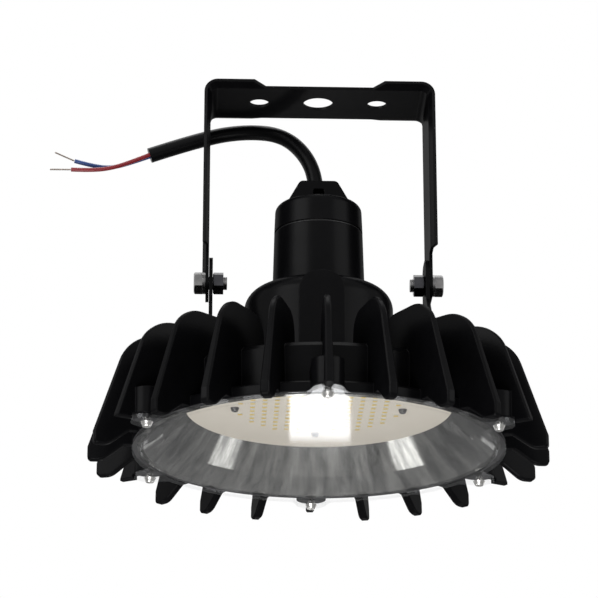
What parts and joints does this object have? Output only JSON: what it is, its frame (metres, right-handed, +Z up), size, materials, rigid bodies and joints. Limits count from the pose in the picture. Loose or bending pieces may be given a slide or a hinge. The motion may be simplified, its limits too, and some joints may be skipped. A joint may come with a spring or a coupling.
{
  "type": "high bay light",
  "caption": "Round LED high bay light with a finned cast heat sink, clear cover, driver neck and hanging lug, tilting in a pressed U-shaped yoke.",
  "frame": {"origin": "centre of the yoke's middle fixing hole, on the upper face of its top plate", "axes": "+Z up, out of the face that is bolted to the ceiling; X along the tilt axis; Y across the yoke, the cable entry on its +Y side"},
  "size_m": [0.312, 0.2816, 0.2421],
  "materials": {
    "black_steel": "glossy powder coat",
    "black_casting": "glossy powder coat",
    "zinc": "zinc plated",
    "steel": "bright",
    "pad_rubber": "matt",
    "board_white": "solder mask",
    "phosphor": "satin",
    "bright_sheet": "polished",
    "clear_plastic": "clear",
    "seal_rubber": "matt",
    "holder_plastic": "matt",
    "board_green": "solder mask",
    "sheath": "satin",
    "core_red": "insulation",
    "core_blue": "insulation",
    "copper": "bare strands"
  },
  "bodies": {
    "yoke": {"yoke": "black_steel", "left_tilt_bolt": "zinc", "right_tilt_bolt": "zinc", "left_tilt_nut": "zinc", "right_tilt_nut": "zinc", "left_spring_washer": "zinc", "right_spring_washer": "zinc"},
    "lamp": {"left_bracket": "black_steel", "right_bracket": "black_steel", "foot_screws": "zinc", "heat_sink_housing": "black_casting", "thermal_sheet": "pad_rubber", "led_board": "board_white", "led_board_screws": "zinc", "led_chips": "phosphor", "reflector": "bright_sheet", "clear_cover": "clear_plastic", "cover_seal": "seal_rubber", "cover_screws": "steel", "driver_housing": "black_casting", "hub_seal": "seal_rubber", "cap_seal": "seal_rubber", "top_cap": "black_casting", "cable_bush": "seal_rubber", "driver_holder": "holder_plastic", "driver_board": "board_green", "board_lead": "sheath", "driver_parts": "holder_plastic", "supply_cable": "sheath", "red_core": "core_red", "red_tip": "copper", "blue_core": "core_blue", "blue_tip": "copper"}
  },
  "joints": [
    {"name": "tilt", "type": "hinge", "parent": "yoke", "child": "lamp", "pos_m": [0, 0, -0.1245], "axis": [-1, 0, 0], "range_deg": [0, 90]}
  ]
}
